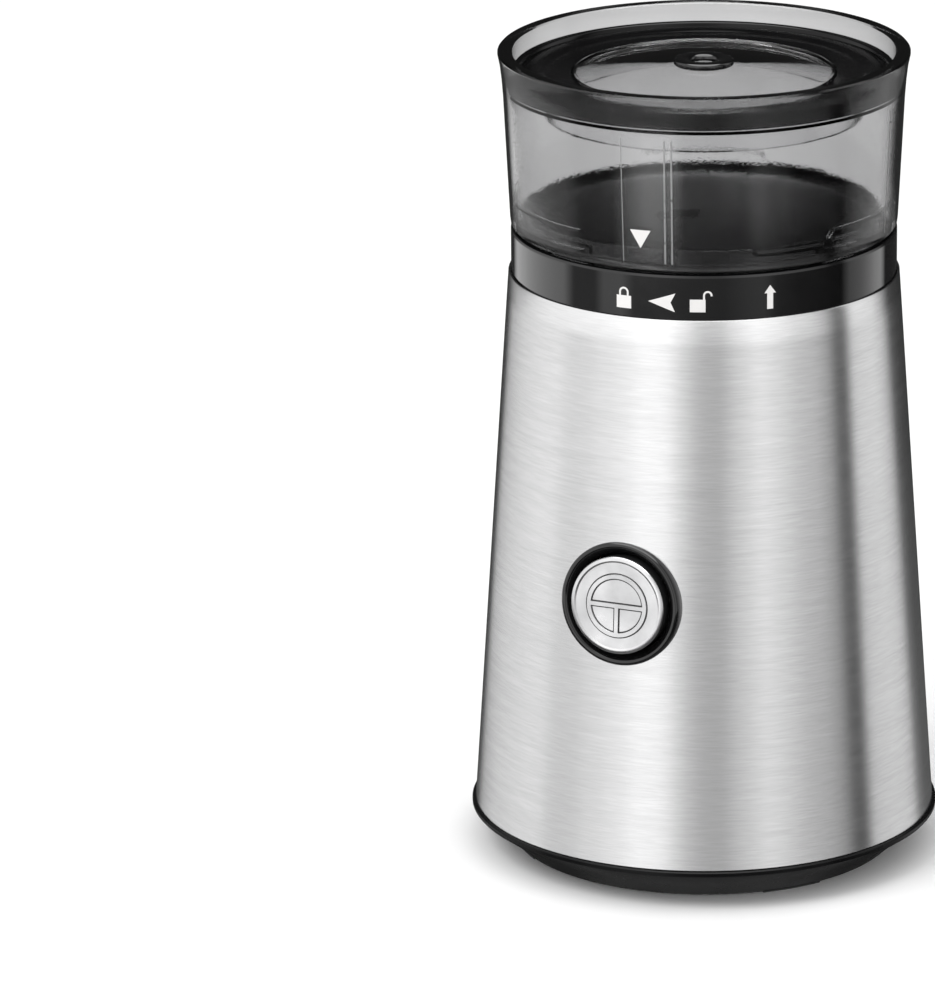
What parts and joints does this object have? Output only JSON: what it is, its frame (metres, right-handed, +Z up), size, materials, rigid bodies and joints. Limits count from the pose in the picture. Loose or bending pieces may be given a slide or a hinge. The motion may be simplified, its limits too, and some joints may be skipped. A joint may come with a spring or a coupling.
{
  "type": "blade coffee grinder",
  "caption": "Small electric blade grinder: tapered steel sleeve, see-through bayonet lid over a steel bowl, push button, motor and lid interlock.",
  "frame": {"origin": "on the floor under the middle of the grinder, where its upright axis meets the floor", "axes": "+Z up along the grinder's axis; -Y is the front, where the start button is; +X is to the right seen from the front"},
  "size_m": [0.1076, 0.1076, 0.1873],
  "materials": {
    "brushed_steel_sleeve": "brushed round the body, satin",
    "bowl_steel": "polished inside",
    "gloss_black": "gloss moulded ABS",
    "matte_black": "matte moulded",
    "smoky_clear": "smoke-tinted clear plastic",
    "clear_plastic": "clear plastic",
    "nylon_white": "natural nylon",
    "rubber_black": "matt rubber",
    "silicone_grey": "silicone seal",
    "machined_steel": "machined",
    "spring_steel": "drawn wire",
    "copper": "enamelled copper wire",
    "electrical_steel": "stacked laminations",
    "bronze": "sintered bronze",
    "carbon": "pressed carbon",
    "phenolic": "moulded phenolic"
  },
  "bodies": {
    "housing": {"base": "gloss_black", "feet": "rubber_black", "base_screws": "machined_steel", "body_shell": "brushed_steel_sleeve", "collar": "gloss_black", "chassis": "matte_black", "bowl": "bowl_steel", "bowl_gasket": "silicone_grey", "shaft_bush": "bronze", "shaft_seal": "silicone_grey", "stator_core": "electrical_steel", "field_coils": "copper", "lower_end_frame": "machined_steel", "upper_end_frame": "machined_steel", "lower_bearing": "bronze", "upper_bearing": "bronze", "motor_mounts": "rubber_black", "mount_screws": "machined_steel", "tie_bolts": "machined_steel", "brush_holders": "phenolic", "brushes": "carbon", "brush_springs": "spring_steel", "button_bezel": "gloss_black", "bezel_nut": "matte_black", "main_switch": "phenolic", "switch_bracket": "machined_steel", "safety_switch": "phenolic", "safety_bracket": "machined_steel", "cord_bush": "rubber_black", "cord_clamp": "matte_black", "terminal_block": "nylon_white", "suppression_capacitor": "matte_black"},
    "lock_ring": {"interlock_ring": "nylon_white"},
    "lid": {"lid_shell": "smoky_clear", "lid_insert": "gloss_black", "lid_window": "clear_plastic", "lid_boss": "gloss_black"},
    "pushrod": {"interlock_pushrod": "nylon_white"},
    "start_button": {"button_cap": "brushed_steel_sleeve", "button_carrier": "matte_black", "button_spring": "spring_steel"},
    "switch_plunger": {"main_switch_plunger": "nylon_white"},
    "rotor": {"shaft": "machined_steel", "commutator": "copper", "rotor_core": "electrical_steel", "rotor_windings": "copper", "cooling_fan": "matte_black", "blade_hub": "machined_steel", "blade": "machined_steel", "blade_nut": "machined_steel"}
  },
  "joints": [
    {"name": "lid_turn", "type": "hinge", "parent": "housing", "child": "lock_ring", "pos_m": [0, 0, 0.14], "axis": [0, 0, 1], "range_deg": [-5.4, 38.1]},
    {"name": "lid_lift", "type": "slide", "parent": "lock_ring", "child": "lid", "axis": [0, 0, 1], "range_m": [0, 0.06]},
    {"name": "pushrod_slide", "type": "slide", "parent": "housing", "child": "pushrod", "axis": [0, 0, 1], "range_m": [-0.0005, 0.00351]},
    {"name": "start_press", "type": "slide", "parent": "housing", "child": "start_button", "axis": [0, 0.9978, -0.067], "range_m": [0, 0.002], "stiffness_N_per_m": 800, "springref_m": -0.001, "deforming": ["button_spring"]},
    {"name": "switch_press", "type": "slide", "parent": "housing", "child": "switch_plunger", "axis": [0, 0.9978, -0.067], "range_m": [-0.00001, 0.00201]},
    {"name": "rotor_spin", "type": "hinge", "parent": "housing", "child": "rotor", "pos_m": [0, 0, 0], "axis": [0, 0, 1], "continuous": true}
  ],
  "couplings": [
    {"joint": "pushrod_slide", "follows": "lid_turn", "m_per_rad": 0.0052686},
    {"joint": "switch_press", "follows": "start_press", "ratio": 1}
  ]
}
